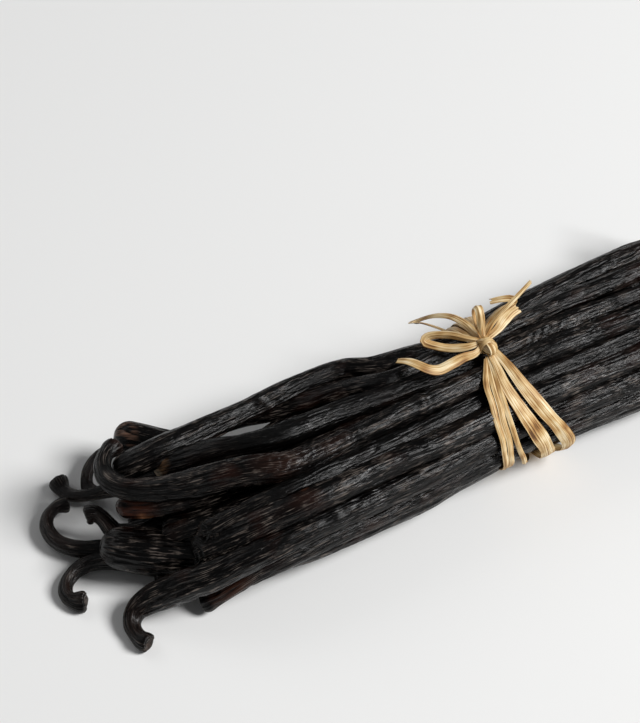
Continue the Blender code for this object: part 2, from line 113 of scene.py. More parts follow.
# %% Camera


def link(name, data):
    """An object in the scene that shows the data."""
    obj = bpy.data.objects.new(name, data)
    bpy.context.scene.collection.objects.link(obj)
    return obj


ELEVATION = math.radians(50.0)
BEARING = math.radians(30.0)
DISTANCE = 600.0
LENS, SENSOR = 119.5, 36.0
TIE_RIGHT, TIE_BELOW = 41.7507, 17.1253  # where the foot of the tie lies, seen from the middle of the view

forward = Vector((math.sin(BEARING), math.cos(BEARING), 0.0))
right = Vector((math.cos(BEARING), -math.sin(BEARING), 0.0))
down_the_lens = forward * math.cos(ELEVATION) - Vector((0.0, 0.0, math.sin(ELEVATION)))
up = forward * math.sin(ELEVATION) + Vector((0.0, 0.0, math.cos(ELEVATION)))
to_tie = down_the_lens * DISTANCE + right * TIE_RIGHT - up * TIE_BELOW

camera_data = bpy.data.cameras.new("camera")
camera_data.lens = LENS
camera_data.sensor_width = SENSOR
camera_data.clip_start = 0.01
camera = link("camera", camera_data)
turn = Matrix((right, up, -down_the_lens)).transposed().to_4x4()
camera.matrix_world = Matrix.Translation((SHIFT - to_tie) * MM) @ turn
bpy.context.scene.camera = camera
print("camera at", [round(v, 3) for v in camera.matrix_world.translation])

# %% [markdown]
# Colours are given as sRGB hex values, as a paint chart or a colour picker shows them, and one
# function turns them into the linear values that a shader needs. One more function adds a
# node, so that each material below reads as a list of what feeds what.

# %% Colour and node helpers


def linear(hex_colour):
    """An sRGB hex colour as linear RGBA."""
    channels = [int(hex_colour[i : i + 2], 16) / 255 for i in (1, 3, 5)]
    bent = [c / 12.92 if c <= 0.04045 else ((c + 0.055) / 1.055) ** 2.4 for c in channels]
    return (*bent, 1.0)


def add(tree, kind, inputs=None, stops=None, **settings):
    """Adds a node. inputs maps a socket's name or index to a value, or to the output that feeds it.
    stops are the (place, hex colour) pairs of a colour ramp."""
    node = tree.nodes.new(kind)
    for name, value in settings.items():
        setattr(node, name, value)
    for name, value in (inputs or {}).items():
        if isinstance(value, bpy.types.NodeSocket):
            tree.links.new(value, node.inputs[name])
        else:
            node.inputs[name].default_value = value
    if stops:
        elements = node.color_ramp.elements
        while len(elements) < len(stops):
            elements.new(0.5)
        for element, (place, colour) in zip(elements, stops):
            element.position = place
            element.color = linear(colour)
    return node


def new_material(name, **constants):
    """A material, its node tree and its shader, with the shader's constant inputs set."""
    material = bpy.data.materials.new(name)
    material.use_nodes = True
    shader = material.node_tree.nodes["Principled BSDF"]
    for socket, value in constants.items():
        shader.inputs[socket.replace("_", " ")].default_value = value
    return material, material.node_tree, shader


# %% Floor
FLOOR_SIZE = 6.0  # metres


def finish_mesh(bm, name):
    """A mesh with what was made in the bmesh, which is freed."""
    mesh = bpy.data.meshes.new(name)
    bm.to_mesh(mesh)
    bm.free()
    return mesh


bm = bmesh.new()
bmesh.ops.create_grid(bm, x_segments=1, y_segments=1, size=FLOOR_SIZE / 2)
floor = link("floor", finish_mesh(bm, "floor"))
paper, _, paper_shader = new_material("matt paper sheet", Roughness=0.9)
paper_shader.inputs["Base Color"].default_value = linear("#ebebea")
floor.data.materials.append(paper)

# %% Light


def light_panel(name, place, size, watts):
    """A square area light at a place in metres from the middle of the bundle, which it faces."""
    data = bpy.data.lights.new(name, "AREA")
    data.size = size
    data.energy = watts
    panel = link(name, data)
    panel.location = place
    panel.rotation_euler = (-Vector(place)).to_track_quat("-Z", "Y").to_euler()


light_panel("key", (0.90, -0.78, 1.20), 0.60, 34.0)
light_panel("fill", (-0.4, 0.9, 0.9), 0.8, 2.0)

ROOM_LIGHT = 0.15

world = bpy.data.worlds.new("studio")
world.use_nodes = True
room = world.node_tree.nodes["Background"]
room.inputs["Color"].default_value = linear("#f4f5f7")
room.inputs["Strength"].default_value = ROOM_LIGHT
bpy.context.scene.world = world
bpy.context.scene.view_settings.view_transform = "Standard"

# %% [markdown]
# ## The pods
#
# A bundle is laid out by hand, so each pod has its own row in a table: the given points of its free left end,
# the lane that it keeps in the bundle, and where it stops. In between, a pod follows the ring of pods, which
# is an ellipse, because the bundle settles under its own weight. The tie squeezes that ring a little, and it
# opens out beyond it.
#
# A lane is an angle round the ring: 0 degrees is the back, 90 the top, 180 the front and 270
# the underside. A second, smaller ring and two pods in the heart lie inside the outer ring.

# %% The ring of pods
CENTRE_Y = 0.0
CENTRE_Z = 15.3
RING_Y = 17.3
RING_Z = 12.0
INNER_RING = 0.56  # the second ring, as a share of the outer one
TIE_SQUEEZE = 0.06
TIE_REACH = 12.0
SPREAD = 0.07  # how much the ring opens towards the right
SPREAD_FROM = 8.0
SPREAD_LENGTH = 35.0
LOW_Z = 12.9  # the lower half of the ring is deeper, so that the lowest pods settle on the surface
LIFT = 2.95  # the lowest pods are lifted by the raffia under them
LIFT_REACH = 17.0
LANE_X = (-58.0, 0.0, 55.0)  # where a pod's angle round the ring is stated
LANE_STATIONS = (-58.0, -40.0, -25.0, -12.0, 0.0, 12.0, 25.0, 40.0, 55.0)
LANE_GAP = 5.0  # least distance from the last point of the free end to the first station


def on_ring(angle, x, ring=1.0, depth=0.0):
    """(y, z) of a place on the ring at x."""
    opened = min(max((x - SPREAD_FROM) / SPREAD_LENGTH, 0.0), 1.0)
    squeeze = 1.0 - TIE_SQUEEZE * math.exp(-((x / TIE_REACH) ** 2)) + SPREAD * opened
    turned = math.radians(angle)
    half_height = RING_Z * squeeze
    if math.sin(turned) < 0:
        lowest = LOW_Z - LIFT * math.exp(-((x / LIFT_REACH) ** 4))
        half_height += (lowest - half_height) * math.sin(turned) ** 2
    y = CENTRE_Y + (RING_Y * squeeze * ring - depth) * math.cos(turned)
    z = CENTRE_Z + (half_height * ring - depth) * math.sin(turned)
    return y, z


def outward_at(point):
    """The direction square to the bundle's surface beside a point."""
    return Vector((0.0, (point[1] - CENTRE_Y) / RING_Y**2, (point[2] - CENTRE_Z) / RING_Z**2)).normalized()


# %% The table of pods
POD_WIDTH = 7.3
HEART_RING = 0.2  # of the two pods in the middle
FLATNESS = 0.90  # a pod's thickness as a share of its width
PACKED = 0.22  # share of its width that a pod loses where it lies between others
PACKED_FROM, PACKED_OVER = -78.0, 22.0  # where that starts, and the length that it takes


@dataclass
class Pod:
    """One pod, from its free end on the left to its other end.

    free: points of the free end, from the tip inwards, before it joins its lane.
    lanes: the angle round the ring, in degrees, at LANE_X.
    stalk: length over which a stalk end thickens to a pod; 0 is a blunt blossom end.
    curl: (turn in degrees, radius, tilt in degrees) of a stalk at the other end, or None.
    ring, depth: the size of its ring, as a share of the outer one, and how far it lies within it.
    """

    name: str
    free: tuple
    lanes: tuple
    end_x: float
    stalk: float = 0.0
    stalk_width: float = 3.3
    curl: tuple = None
    ring: float = 1.0
    depth: float = 0.0
    width: float = POD_WIDTH


PODS = (
    Pod("back_top", ((-92, 22.3, 17.6), (-88, 21.2, 19.2), (-82, 20.4, 20.4), (-72, 20.4, 20.6),
        (-56, 21.0, 20.2), (-40, 21.4, 20.5), (-30, 20.0, 21.0), (-24, 16.6, 21.6),
        (-15, 14.4, 22.0), (-7, 13.2, 22.1)), (None, 38, 41), 66, curl=(120, 6.5, 35)),
    Pod("under_back_top", ((-95.0, 28.6, 2.6), (-95.2, 32.0, 3.2), (-93.4, 35.0, 4.6), (-90.2, 36.6, 5.8),
        (-86.4, 36.8, 6.4), (-80, 33.6, 7.6), (-70, 27.6, 10.4), (-58, 25.0, 13.6),
        (-47, 20.2, 16.4), (-40, 16.5, 19.2), (-33, 13.1, 22.4)),
        (None, 62, 72), 60, stalk=55, stalk_width=2.6),
    Pod("top", ((-83.0, 19.0, 17.0), (-78.4, 16.7, 18.7), (-73.6, 13.9, 21.0), (-69, 11.4, 23.2)),
        (62, 80, 90), 68, curl=(95, 6.0, 10), depth=1.5),
    Pod("front_top", ((-88.3, 28.6, 18.8), (-92.2, 26.2, 19.8), (-94.6, 22.6, 20.3), (-95.1, 18.4, 20.8),
        (-93.3, 14.4, 21.3), (-88.2, 10.0, 22.4), (-83, 6.6, 23.8), (-77, 3.8, 25.4),
        (-68, 0.4, 27.0)), (101, 101, 112), 62, stalk=42, stalk_width=3.8, width=7.6),
    Pod("front_deep", ((-82.6, -3.8, 17.4), (-79.6, -5.4, 19.0), (-74.3, -6.4, 21.4)),
        (121, 121, 127), 67, curl=(140, 5.5, -20), depth=1.8, width=7.0),
    Pod("front_blunt", ((-85.2, -5.2, 13.0), (-82.0, -6.6, 14.8), (-77.8, -8.4, 17.4), (-72.3, -10.0, 19.8)),
        (137, 138, 142), 70, curl=(110, 6.5, 20), width=8.2),
    Pod("front_hook", ((-102.8, -15.6, 2.1), (-104.0, -12.8, 1.9), (-103.9, -9.0, 2.1), (-101.9, -6.6, 3.0),
        (-98.4, -6.6, 5.0), (-94.2, -8.2, 7.6), (-89.6, -10.4, 10.4), (-84.2, -13.0, 13.4),
        (-77.0, -14.8, 16.4)), (162, 162, 163), 61, stalk=21, width=7.4),
    Pod("front_low", ((-86.3, -11.9, 2.3), (-83.4, -13.6, 4.6), (-79.4, -14.8, 7.6), (-73, -15.6, 10.4)),
        (197, 190, 187), 64, stalk=24),
    Pod("fat_end", ((-101.8, 10.8, 9.4), (-98.6, 8.0, 9.4), (-93.5, 4.0, 9.2), (-86.5, -0.6, 8.8),
        (-78, -5.6, 8.4)), (214, 216, 212), 72, curl=(130, 6.0, -30), depth=0.6, width=11.2),
    Pod("short_hook", ((-110.4, 2.3, 2.3), (-112.3, 3.7, 2.1), (-113.4, 6.0, 2.0), (-112.4, 8.9, 2.1),
        (-109.6, 10.9, 2.3), (-105.4, 11.6, 2.6), (-99.6, 9.2, 2.9), (-91, 2.6, 3.0),
        (-78, -4.6, 3.4)), (240, 242, 240), 58, stalk=44),
    Pod("under_front", ((-93, 0.0, 3.6), (-88, -2.0, 2.9), (-76, -2.2, 2.7)), (264, 268, 268), 66, stalk=26),
    Pod("wide_hook", ((-101.6, 29.4, 3.4), (-104.6, 29.9, 3.4), (-107.6, 28.6, 3.2), (-109.2, 26.2, 2.9),
        (-109.4, 22.4, 2.9), (-108.0, 18.8, 3.0), (-105.0, 15.6, 3.3), (-99.4, 12.4, 3.4),
        (-90, 8.0, 3.0), (-76, 5.4, 2.7)), (287, 294, 295), 60, stalk=46),
    Pod("under_back", ((-92, 16.0, 3.4), (-86, 13.6, 3.4), (-74, 11.6, 4.2)), (309, 320, 322), 63, stalk=28),
    Pod("back_low", ((-88, 20.0, 5.6), (-82, 18.6, 6.2), (-72, 16.0, 7.0)), (327, 345, 348), 73,
        curl=(100, 7.0, 10), width=6.8),
    Pod("back_blunt", ((-85.4, 35.8, 12.4), (-80.6, 32.2, 12.4), (-73.8, 25.8, 12.4), (-66, 19.6, 12.2)),
        (344, 12, 10), 71, curl=(125, 6.0, -15), width=8.8),
    Pod("inner_brown", ((-94.5, 16.0, 13.6), (-91.3, 12.8, 14.8), (-87.7, 9.8, 16.2), (-80, 6.2, 18.4)),
        (80, 76, 76), 67, curl=(90, 6.0, 20), ring=INNER_RING, width=6.6),
    Pod("inner_dark", ((-89.5, 3.0, 11.4), (-85, 1.6, 12.6), (-78, -1.0, 15.4)), (126, 126, 126), 64,
        ring=INNER_RING, width=6.8),
    Pod("inner_front", ((-86, -6.2, 9.6), (-80, -7.4, 11.0)), (177, 177, 177), 59, ring=INNER_RING),
    Pod("inner_low", ((-92, 8.6, 7.4), (-86, 4.0, 8.4)), (229, 229, 229), 68, curl=(80, 6.5, 0),
        ring=INNER_RING),
    Pod("inner_under", ((-94, 12.6, 6.6), (-87, 8.8, 8.0)), (281, 281, 281), 62, stalk=30, ring=INNER_RING),
    Pod("inner_stub", ((-101.1, 20.2, 9.0), (-98.9, 19.4, 9.2), (-97.6, 17.2, 8.2), (-96.4, 13.8, 6.4),
        (-90.6, 10.6, 6.4), (-80, 9.4, 9.2)),
        (333, 333, 333), 61, stalk=30, stalk_width=3.8, ring=INNER_RING),
    Pod("inner_small_hook", ((-100.5, 38.0, 2.3), (-100.6, 34.3, 2.3), (-99.2, 31.0, 3.0), (-96.2, 28.3, 4.6),
        (-92.0, 25.6, 6.6), (-86, 21.0, 10.2), (-77, 15.4, 14.4), (-60, 10.4, 16.5),
        (-44, 10.2, 18.0)), (24, 24, 24), 58, stalk=52, stalk_width=2.9, ring=0.82),
    Pod("heart_front", ((-88, 5.4, 11.6), (-80, 2.0, 13.2)), (180, 180, 180), 65, ring=HEART_RING),
    Pod("heart_back", ((-89, 11.4, 13.0), (-80, 8.4, 14.4)), (0, 0, 0), 69, curl=(60, 7.0, 10),
        ring=HEART_RING),
)

print(len(PODS), "pods")

# %% [markdown]
# ### From a row of the table to a centre line
#
# The given points, the lane and the curled stalk at the far end make one list of points. A centripetal
# Catmull-Rom curve goes through all of them without overshooting where the points are uneven, which is what a
# bending pod does too.

# %% Centre lines


def lane_angle(pod, x):
    """The pod's angle round the ring at x, eased between the angles that it states."""
    left, tie, far = pod.lanes
    if x < LANE_X[1]:
        start, end, share = left, tie, (x - LANE_X[0]) / (LANE_X[1] - LANE_X[0])
    else:
        start, end, share = tie, far, (x - LANE_X[1]) / (LANE_X[2] - LANE_X[1])
    if start is None:
        return end
    start_to_end = (end - start + 180.0) % 360.0 - 180.0
    return start + start_to_end * share * share * (3.0 - 2.0 * share)


def curled_end(start, curl, steps=5):
    """Points along the arc of a curled stalk that leaves start along +X."""
    turned, radius, tilt = math.radians(curl[0]), curl[1], math.radians(curl[2])
    side = 1.0 if start.y > CENTRE_Y else -1.0
    outward = Vector((0.0, side * math.cos(tilt), -math.sin(tilt)))
    points = []
    for step in range(1, steps + 1):
        angle = turned * step / steps
        ahead = Vector((radius * math.sin(angle), 0.0, 0.0))
        points.append(start + ahead + outward * radius * (1.0 - math.cos(angle)))
    return points


def pod_points(pod):
    """The points that the pod's centre line passes through, from its free end."""
    points = [Vector(p) for p in pod.free]
    last_free = pod.free[-1][0]
    for x in LANE_STATIONS:
        if x > last_free + LANE_GAP:
            points.append(Vector((x, *on_ring(lane_angle(pod, x), x, pod.ring, pod.depth))))
    reach, least = 0.0, 0.0
    if pod.curl:
        reach = pod.curl[1] * math.sin(math.radians(min(pod.curl[0], 90.0)))
        least = 2.0
    ahead = max(pod.end_x - reach - points[-1].x, least)
    points.append(points[-1] + Vector((ahead, 0.0, 0.0)))
    if pod.curl:
        points += curled_end(points[-1], pod.curl)
    return points


def smooth_route(points, spacing=1.0):
    """Points about spacing apart on a centripetal Catmull-Rom curve through the given points."""
    points = [Vector(p) for p in points]
    ends = [points[0] * 2 - points[1], *points, points[-1] * 2 - points[-2]]
    route = []
    for a, b, c, d in zip(ends, ends[1:], ends[2:], ends[3:]):
        knots = [0.0]
        for p, q in ((a, b), (b, c), (c, d)):
            knots.append(knots[-1] + max((q - p).length, 1e-6) ** 0.5)
        steps = max(1, round((c - b).length / spacing))
        for step in range(steps):
            t = knots[1] + (knots[2] - knots[1]) * step / steps
            a1 = a.lerp(b, (t - knots[0]) / (knots[1] - knots[0]))
            a2 = b.lerp(c, (t - knots[1]) / (knots[2] - knots[1]))
            a3 = c.lerp(d, (t - knots[2]) / (knots[3] - knots[2]))
            b1 = a1.lerp(a2, (t - knots[0]) / (knots[2] - knots[0]))
            b2 = a2.lerp(a3, (t - knots[1]) / (knots[3] - knots[1]))
            route.append(b1.lerp(b2, (t - knots[1]) / (knots[2] - knots[1])))
    route.append(points[-1].copy())
    return route


# %% [markdown]
# ### Carrying a cross-section along the line
#
# A flat pod needs to know which way its flat side faces all along. The direction is set at the
# middle of the line and carried both ways, each time straightened against the new heading, so
# that the section never spins. A table of lengths then lets any ring be placed by how far
# along the pod it lies.

# %% Frames along a line


@dataclass
class Line:
    """A smooth line in plan millimetres, with the two directions across it at each point."""

    length: np.ndarray
    centre: np.ndarray
    side: np.ndarray
    outward: np.ndarray

    def at(self, lengths):
        """Centre, side and outward direction at each of the given lengths."""
        found = []
        for values in (self.centre, self.side, self.outward):
            found.append(np.stack([np.interp(lengths, self.length, values[:, i]) for i in range(3)], 1))
        for directions in found[1:]:
            directions /= np.linalg.norm(directions, axis=1, keepdims=True)
        return found


def line_through(points, facing, spacing=1.0):
    """The Line through the points. facing is a direction for its middle, or a function of the place."""
    route = smooth_route(points, spacing)
    middle_index = len(route) // 2
    frames = [None] * len(route)
    for walk in (range(middle_index, len(route)), range(middle_index, -1, -1)):
        across = facing(route[middle_index]) if callable(facing) else Vector(facing)
        for i in walk:
            if callable(facing):
                across = facing(route[i])
            along = (route[min(i + 1, len(route) - 1)] - route[max(i - 1, 0)]).normalized()
            across = (across - along * across.dot(along)).normalized()
            frames[i] = (across.cross(along), across)
    steps = [0.0] + [(b - a).length for a, b in zip(route, route[1:])]
    side, outward = (np.array([f[i] for f in frames]) for i in (0, 1))
    return Line(np.cumsum(steps), np.array(route), side, outward)


# %% [markdown]
# ### Wrinkles
#
# The skin of a cured pod is pleated lengthwise: a few deep furrows where the pod collapsed,
# and between them dozens of fine creases that run side by side, part and meet. Smooth random
# values on a lattice that closes round the pod give all of these. Cells that are long and
# narrow give long, narrow wrinkles, and the line where the noise passes its middle value
# makes a good crease, because such lines meander but never end abruptly.
#
# The wrinkles are real relief in the mesh and not only a bump, so that they show at the
# edges of the pods and shade each other.

# %% Wrinkle noise


def lattice_noise(rng, around, along, cells_around, cells_along):
    """Smooth noise from 0 to 1 that closes round a tube. around and along run from 0 to 1."""
    lattice = rng.random((cells_along + 2, cells_around))
    u, v = around * cells_around, np.clip(along, 0.0, 1.0) * cells_along
    i, j = np.floor(u).astype(int), np.floor(v).astype(int)
    fu, fv = u - i, v - j
    fu, fv = fu * fu * (3 - 2 * fu), fv * fv * (3 - 2 * fv)
    near, far = i % cells_around, (i + 1) % cells_around
    low = lattice[j, near] * (1 - fu) + lattice[j, far] * fu
    high = lattice[j + 1, near] * (1 - fu) + lattice[j + 1, far] * fu
    return low * (1 - fv) + high * fv


def creases(noise, width):
    """1 on the line where the noise passes its middle value, falling to 0 beside it."""
    return np.clip(1.0 - np.abs(2.0 * noise - 1.0) / width, 0.0, 1.0)


# %% [markdown]
# ### One blank, many pods
#
# Every pod starts as the same straight tube, cut into many rings. It is made once, with a cone
# that doesn't taper and loop cuts along its upright edges. Each pod is then a copy of it with
# its rings carried to their places, which is far quicker than cutting each one.
#
# The blank also gets a UV map that lays the tube's skin out in a few side by side bands, so
# that a baked texture spends its pixels evenly.

# %% The blank tube
END_RINGS = 16  # rings spent on each end of a pod
BANDS = 3  # side by side strips of skin in the UV map
BAND_GAP, BAND_HEIGHT = 0.004, 0.98  # as shares of the map


def blank_tube(name, sides, rings):
    """(mesh, ring index, share of the way round) of a straight tube, with one value per vertex."""
    bm = bmesh.new()
    bmesh.ops.create_cone(bm, cap_ends=True, segments=sides, radius1=1.0, radius2=1.0, depth=1.0)
    upright = [e for e in bm.edges if abs(e.verts[0].co.z - e.verts[1].co.z) > 0.5]
    bmesh.ops.subdivide_edges(bm, edges=upright, cuts=rings - 2)
    mesh = finish_mesh(bm, name)
    place = np.empty(len(mesh.vertices) * 3)
    mesh.vertices.foreach_get("co", place)
    x, y, z = place.reshape(-1, 3).T
    ring = np.rint((z + 0.5) * (rings - 1)).astype(int)
    side = np.rint(np.arctan2(y, x) / (2 * math.pi) * sides - 0.25).astype(int) % sides
    around = (np.arctan2(y, x) / (2 * math.pi)) % 1.0
    lay_out_bands(mesh, ring, side, sides, rings)
    mesh.polygons.foreach_set("use_smooth", np.ones(len(mesh.polygons), bool))
    return mesh, ring, around


def lay_out_bands(mesh, ring, side, sides, rings):
    """A UV map of BANDS strips of the tube's skin, each as tall as the map."""
    corner = np.empty(len(mesh.loops), int)
    mesh.loops.foreach_get("vertex_index", corner)
    first = np.empty(len(mesh.polygons), int)
    mesh.polygons.foreach_get("loop_start", first)
    counts = np.diff(np.append(first, len(corner)))
    u, v = side[corner].astype(float), ring[corner].astype(float)
    widest = np.repeat(np.maximum.reduceat(u, first), counts)
    u = np.where(widest - u > sides / 2, u + sides, u)
    per_band = (rings - 1) / BANDS
    lowest = np.minimum.reduceat(v, first)
    band = np.repeat(np.minimum(np.floor(lowest / per_band + 1e-6), BANDS - 1), counts)
    across = (u / sides * (1 - BANDS * BAND_GAP) + band) / BANDS + BAND_GAP
    upwards = BAND_GAP + (v / per_band - band) * (1 - 2 * BAND_GAP) * BAND_HEIGHT
    uv = np.stack([across, upwards], 1)
    layer = mesh.uv_layers.new(name="OFBake")
    layer.data.foreach_set("uv", uv.astype(np.float32).ravel())


outer_blank = blank_tube("outer_blank", 120, 250)
inner_blank = blank_tube("inner_blank", 64, 150)
print("outer pods have", len(outer_blank[0].vertices), "points each")

# %% [markdown]
# ### The ends
#
# A stalk thickens to a small foot where it was pulled off the vine. The foot's face is torn and
# slightly hollow, so the first rings step over it, from its middle out to a rounded rim. A
# blunt end closes in a dome. Both are stated as ring positions: how far along the pod each
# ring lies, and what share of the width it has there.

# %% Ring positions and widths
FOOT = 1.45  # width of a stalk's foot, as a share of the stalk's
FOOT_AT, FOOT_LENGTH = 1.0, 2.0  # where it is thickest, and how far it reaches from there
FACE_RINGS = ((0.45, 0.05), (0.40, 0.32), (0.15, 0.62), (0.0, 0.82), (0.35, 1.0))  # (mm, share)
RIM_LENGTH, RIM_CROWDING = 5.0, 1.4  # the rings after the face, which crowd towards it
CURLED_STALK = 30.0  # length over which a curled stalk thickens to a pod


def end_rings(blunt, width):
    """(distance along the pod, share of the width there) for the rings of one end."""
    if blunt:
        angles = np.radians(np.linspace(4.0, 90.0, END_RINGS))
        return 0.5 * width * (1 - np.cos(angles)), np.sin(angles)
    face = np.array(FACE_RINGS)
    steps = np.linspace(0.0, 1.0, END_RINGS - len(face) + 1)[1:]
    rest = face[-1, 0] + steps**RIM_CROWDING * RIM_LENGTH
    return np.concatenate([face[:, 0], rest]), np.concatenate([face[:, 1], np.ones(len(rest))])


def stalk_width_at(distance, stalk, stalk_width, width):
    """Width of a pod at a distance from a stalk end, before it has reached its full width."""
    share = np.clip(distance / stalk, 0.0, 1.0)
    foot = 1.0 + (FOOT - 1.0) * np.exp(-(((distance - FOOT_AT) / FOOT_LENGTH) ** 2))
    return (stalk_width + (width - stalk_width) * share * share * (3.0 - 2.0 * share)) * foot


def pod_rings(pod, total, count):
    """(distances along the pod, widths) of all its rings."""
    left, left_share = end_rings(not pod.stalk, pod.width)
    far, far_share = end_rings(not pod.curl, pod.width)
    body = np.linspace(left[-1], total - far[-1], count - 2 * END_RINGS + 2)[1:-1]
    distance = np.concatenate([left, body, total - far[::-1]])
    width = np.full(count, pod.width)
    if pod.stalk:
        width = np.minimum(width, stalk_width_at(distance, pod.stalk, pod.stalk_width, pod.width))
    if pod.curl:
        curled = stalk_width_at(total - distance, CURLED_STALK, pod.stalk_width, pod.width)
        width = np.minimum(width, curled)
    width[: len(left)] *= left_share
    width[-len(far) :] *= far_share[::-1]
    return distance, width


# %% [markdown]
# ### Relief
#
# The relief adds up what happened to the pod: broad furrows, a dense set of creases, a finer
# one on top, collars where the pod was bent or pinched, and rows of ring-shaped puckers, as
# round a blunt tip. Under the tie the furrows are pressed flatter. Each function returns
# millimetres that push the skin out or in.

# %% Relief of the skin
GIRTH = 2.7  # of a pod, as a share of its width

# Depth, spacing and length of the wrinkles. The widths are shares of the noise's range.
FURROW, FURROW_LENGTH, FURROW_LEVEL = 1.2, 24.0, 0.55
CREASE, CREASE_SPACING, CREASE_LENGTH, CREASE_WIDTH = 0.40, 0.80, 8.0, 0.3
FINE_CREASE, FINE_SPACING, FINE_LENGTH, FINE_WIDTH = 0.12, 0.42, 3.4, 0.4
PLUMP = 0.16  # how far the skin stands up between two creases
DEEP_PATCH, FAINTEST = 16.0, 0.45  # length of a patch of deep creases, and strength elsewhere
CREASE_SHADES = (1.1, 0.4, 1.2)  # how much painted shade a crease, a fine crease and a furrow put on the skin
WANDER, WANDER_LENGTH = 0.05, 22.0  # how far a crease wanders round the pod, as a share of its girth
PLY = 0.12  # the most that creases turn round the pod from end to end
RIDGE_LENGTH, DIP_AT, DIP_LENGTH = 0.9, 1.7, 0.8  # a pinch is a ridge with a dip beside it
PINCH_WANDER, PINCH_PATCHY = 3.0, 1.3
RIPPLE_FADE, RIPPLE_BOW = 2.0, 1.4  # a row of ripples fades in and out, and its rings are bowed
PINCHES = (  # pod, x and height
    ("front_top", -42.6, 0.3), ("front_top", -21.5, 0.3), ("front_hook", -53.0, 0.2),
    ("front_hook", -42.5, 0.15), ("back_top", -52.4, 0.35), ("front_low", -30.0, 0.25),
    ("front_top", 26.0, 0.25), ("front_blunt", 34.0, 0.25), ("back_top", 30.0, 0.25),
)
RIPPLES = (  # pod, first and last x, spacing and height
    ("front_top", -65.0, -45.0, 2.1, 0.14), ("front_blunt", -87.0, -74.0, 1.1, 0.3),
    ("front_deep", -84.0, -75.0, 1.1, 0.3), ("top", 8.0, 22.0, 2.4, 0.1),
    ("front_hook", 20.0, 33.0, 2.2, 0.1),
)


def wrinkle_relief(rng, around, along, total, width):
    """(millimetres of relief, painted shade of the creases and furrows from 0 to 1) for a pod's skin."""

    def noise(where, cells_around, length):
        return lattice_noise(rng, where, along, cells_around, max(2, int(total / length)))

    turned = around + WANDER * (noise(around, 4, WANDER_LENGTH) - 0.5)
    turned = turned + rng.uniform(-PLY, PLY) * along
    furrow = noise(turned, 6, FURROW_LENGTH)
    coarse = noise(turned, int(GIRTH * width / CREASE_SPACING), CREASE_LENGTH)
    fine = noise(turned, int(GIRTH * width / FINE_SPACING), FINE_LENGTH)
    strength = FAINTEST + (1 - FAINTEST) * noise(turned, 5, DEEP_PATCH)
    deep = creases(coarse, CREASE_WIDTH) * strength
    thin = creases(fine, FINE_WIDTH)
    relief = FURROW * (furrow - FURROW_LEVEL) + PLUMP * (coarse - 0.5)
    relief -= CREASE * deep + FINE_CREASE * thin
    # Painted shade: the deeper a crease or furrow, the darker the skin is painted there.
    crease_shade = CREASE_SHADES[0] * deep + CREASE_SHADES[1] * thin + CREASE_SHADES[2] * (0.5 - furrow)
    return relief, np.clip(crease_shade, 0.0, 1.0)


def mark_relief(name, rng, around, centre_x):
    """Millimetres of relief from the pod's pinches and ripples."""
    relief = np.zeros_like(around)
    wander = PINCH_WANDER * (lattice_noise(rng, around, np.zeros_like(around), 5, 1) - 0.5)
    patchy = PINCH_PATCHY * lattice_noise(rng, around, np.zeros_like(around), 4, 1)
    for pod_name, x, height in PINCHES:
        if pod_name == name:
            off = centre_x - x - wander
            ridge = np.exp(-((off / RIDGE_LENGTH) ** 2))
            relief += height * patchy * (ridge - np.exp(-(((off - DIP_AT) / DIP_LENGTH) ** 2)))
    for pod_name, start, end, spacing, height in RIPPLES:
        if pod_name == name:
            from_end = np.minimum(centre_x - start, end - centre_x)
            inside = np.clip(from_end / RIPPLE_FADE, 0, 1)
            bowed = centre_x + RIPPLE_BOW * np.cos(4 * math.pi * around)
            relief += height * inside * np.sin(2 * math.pi * bowed / spacing)
    return relief
